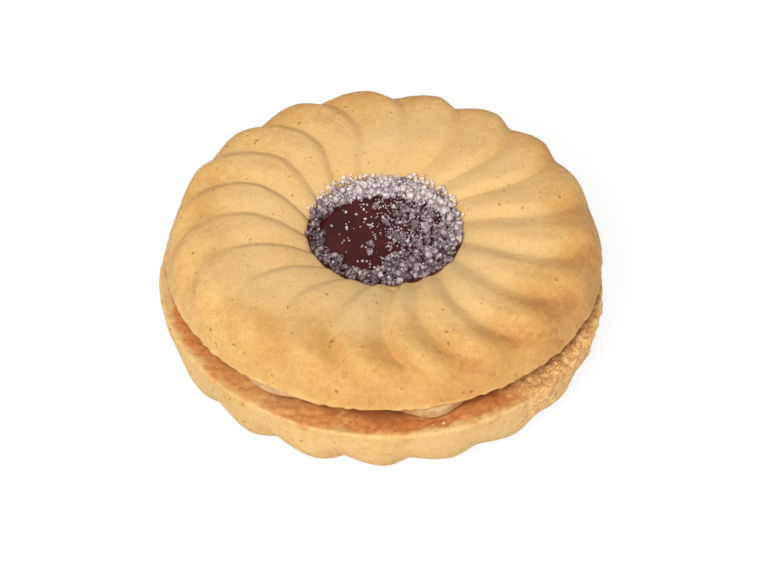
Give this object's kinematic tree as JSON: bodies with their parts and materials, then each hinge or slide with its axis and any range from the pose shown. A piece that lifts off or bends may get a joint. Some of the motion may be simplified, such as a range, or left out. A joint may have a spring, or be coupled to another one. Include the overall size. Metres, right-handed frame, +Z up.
{
  "type": "jam sandwich biscuit",
  "caption": "Round sandwich biscuit: two swirl-fluted shortcrust shells base to base on a cream layer, the upper one with a round hole filled with sugared jam.",
  "frame": {"origin": "on the surface that the biscuit lies on, under the middle of the biscuit", "axes": "+Z upwards through the jam, +Y away from the viewer of the picture, +X to the viewer's right"},
  "size_m": [0.057, 0.0581, 0.0171],
  "materials": {
    "baked_shell": "matt baked crumb",
    "cream": "soft satin",
    "sugared_jam": "glossy, with sugar crystals"
  },
  "bodies": {
    "root": {"lower_biscuit": "baked_shell", "upper_biscuit": "baked_shell", "cream": "cream", "sugared_jam": "sugared_jam"}
  },
  "joints": []
}
